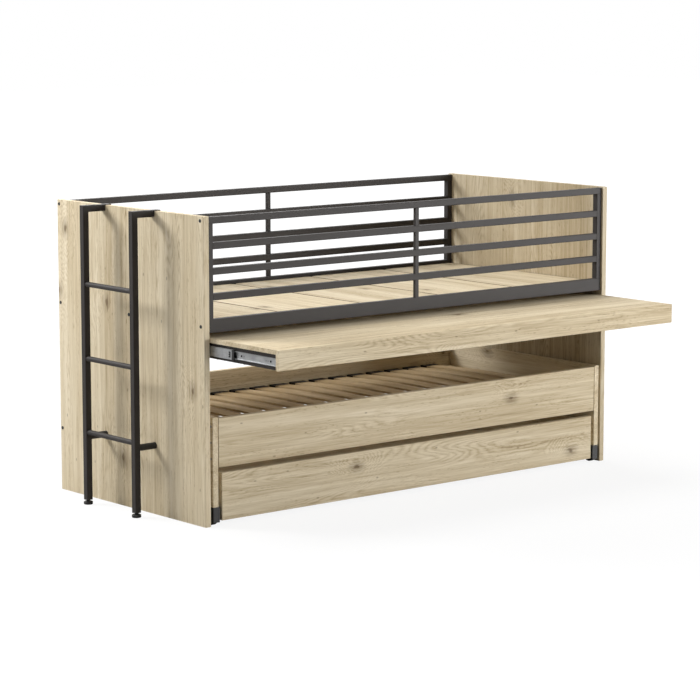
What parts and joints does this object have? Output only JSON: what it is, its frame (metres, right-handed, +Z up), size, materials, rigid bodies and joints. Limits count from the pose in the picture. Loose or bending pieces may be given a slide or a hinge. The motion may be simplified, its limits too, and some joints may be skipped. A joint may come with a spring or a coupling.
{
  "type": "kids bed with desk",
  "caption": "Low guarded children's bed over a desk that slides out on ball-bearing slides, a lower bed on castors, a long floor drawer and a side ladder.",
  "frame": {"origin": "on the floor below the middle of the whole object with the desk out as pictured", "axes": "+X along the bed from the ladder end, +Y from the front to the wall, +Z up"},
  "size_m": [2.1664, 1.342, 1.143],
  "materials": {
    "oak_board": "particle board faced with light oak melamine, matt",
    "graphite_steel": "graphite grey powder coat, matt",
    "zinc_steel": "bright zinc plate",
    "bearing_steel": "ground bearing steel",
    "black_plastic": "moulded black nylon",
    "wheel_plastic": "moulded black plastic with a soft tread",
    "slat_plywood": "laminated beech, brown foil",
    "box_board": "particle board faced with pale melamine"
  },
  "bodies": {
    "bed_frame": {"left_end_panel": "oak_board", "right_end_panel": "oak_board", "front_guard_beam": "graphite_steel", "front_guard_top_rail": "graphite_steel", "front_guard_bars": "graphite_steel", "front_guard_posts": "graphite_steel", "back_guard_beam": "graphite_steel", "back_guard_top_rail": "graphite_steel", "back_guard_bars": "graphite_steel", "back_guard_posts": "graphite_steel", "deck_board_1": "oak_board", "deck_board_2": "oak_board", "deck_board_3": "oak_board", "deck_board_4": "oak_board", "deck_board_5": "oak_board", "deck_ledges": "graphite_steel", "rear_stretcher": "graphite_steel", "frame_bolts": "zinc_steel", "bolt_caps": "black_plastic", "left_slide_cabinet_member": "zinc_steel", "right_slide_cabinet_member": "zinc_steel", "ladder_front_stile": "graphite_steel", "ladder_back_stile": "graphite_steel", "ladder_rungs": "graphite_steel", "ladder_spacers": "black_plastic", "ladder_foot_plugs": "black_plastic"},
    "desk": {"desk_top": "oak_board", "desk_front": "oak_board", "desk_side_rails": "graphite_steel", "desk_cross_rails": "graphite_steel", "left_slide_desk_member": "zinc_steel", "right_slide_desk_member": "zinc_steel"},
    "slide_middles": {"left_slide_middle_member": "zinc_steel", "right_slide_middle_member": "zinc_steel", "slide_end_clips": "black_plastic"},
    "outer_ball_trains": {"outer_ball_cages": "zinc_steel", "outer_balls": "bearing_steel"},
    "inner_ball_trains": {"inner_ball_cages": "zinc_steel", "inner_balls": "bearing_steel"},
    "lower_bed": {"trundle_left_side": "oak_board", "trundle_right_side": "oak_board", "trundle_front": "oak_board", "trundle_back": "oak_board", "trundle_slat_rails": "box_board", "trundle_slats": "slat_plywood", "slat_end_caps": "black_plastic", "trundle_castor_housings": "black_plastic", "trundle_castor_axles": "zinc_steel"},
    "lower_bed_front_wheels": {"trundle_front_wheels": "wheel_plastic"},
    "lower_bed_back_wheels": {"trundle_back_wheels": "wheel_plastic"},
    "drawer": {"drawer_front": "oak_board", "drawer_sides": "box_board", "drawer_back": "box_board", "drawer_bottom": "box_board", "drawer_castor_brackets": "zinc_steel", "drawer_castor_axles": "zinc_steel"},
    "drawer_front_wheels": {"drawer_front_wheels": "wheel_plastic"},
    "drawer_back_wheels": {"drawer_back_wheels": "wheel_plastic"},
    "ladder_front_foot": {"ladder_front_foot": "black_plastic"},
    "ladder_back_foot": {"ladder_back_foot": "black_plastic"}
  },
  "joints": [
    {"name": "desk_slide", "type": "slide", "parent": "bed_frame", "child": "desk", "axis": [0, -1, 0], "range_m": [-0.397, 0.153]},
    {"name": "slide_middles_travel", "type": "slide", "parent": "bed_frame", "child": "slide_middles", "axis": [0, -1, 0], "range_m": [-0.1985, 0.0765]},
    {"name": "outer_ball_travel", "type": "slide", "parent": "bed_frame", "child": "outer_ball_trains", "axis": [0, -1, 0], "range_m": [-0.09925, 0.03825]},
    {"name": "inner_ball_travel", "type": "slide", "parent": "bed_frame", "child": "inner_ball_trains", "axis": [0, -1, 0], "range_m": [-0.29775, 0.11475]},
    {"name": "lower_bed_roll", "type": "slide", "parent": "bed_frame", "child": "lower_bed", "axis": [0, -1, 0], "range_m": [0, 0.9]},
    {"name": "lower_bed_front_wheel_spin", "type": "hinge", "parent": "lower_bed", "child": "lower_bed_front_wheels", "pos_m": [-0.9282, -0.244, 0.025], "axis": [1, 0, 0], "continuous": true},
    {"name": "lower_bed_back_wheel_spin", "type": "hinge", "parent": "lower_bed", "child": "lower_bed_back_wheels", "pos_m": [-0.9282, 0.608, 0.025], "axis": [1, 0, 0], "continuous": true},
    {"name": "drawer_roll", "type": "slide", "parent": "bed_frame", "child": "drawer", "axis": [0, -1, 0], "range_m": [0, 0.85]},
    {"name": "drawer_front_wheel_spin", "type": "hinge", "parent": "drawer", "child": "drawer_front_wheels", "pos_m": [0.0518, -0.195, 0.02], "axis": [1, 0, 0], "continuous": true},
    {"name": "drawer_back_wheel_spin", "type": "hinge", "parent": "drawer", "child": "drawer_back_wheels", "pos_m": [0.0518, 0.535, 0.02], "axis": [1, 0, 0], "continuous": true},
    {"name": "ladder_front_foot_turn", "type": "hinge", "parent": "bed_frame", "child": "ladder_front_foot", "pos_m": [-1.0657, 0.0395, 0.006], "axis": [0, 0, 1], "continuous": true},
    {"name": "ladder_back_foot_turn", "type": "hinge", "parent": "bed_frame", "child": "ladder_back_foot", "pos_m": [-1.0657, 0.3575, 0.006], "axis": [0, 0, 1], "continuous": true}
  ],
  "couplings": [
    {"joint": "slide_middles_travel", "follows": "desk_slide", "ratio": 0.5},
    {"joint": "outer_ball_travel", "follows": "desk_slide", "ratio": 0.25},
    {"joint": "inner_ball_travel", "follows": "desk_slide", "ratio": 0.75},
    {"joint": "lower_bed_front_wheel_spin", "follows": "lower_bed_roll", "rad_per_m": 40},
    {"joint": "lower_bed_back_wheel_spin", "follows": "lower_bed_roll", "rad_per_m": 40},
    {"joint": "drawer_front_wheel_spin", "follows": "drawer_roll", "rad_per_m": 50},
    {"joint": "drawer_back_wheel_spin", "follows": "drawer_roll", "rad_per_m": 50}
  ]
}
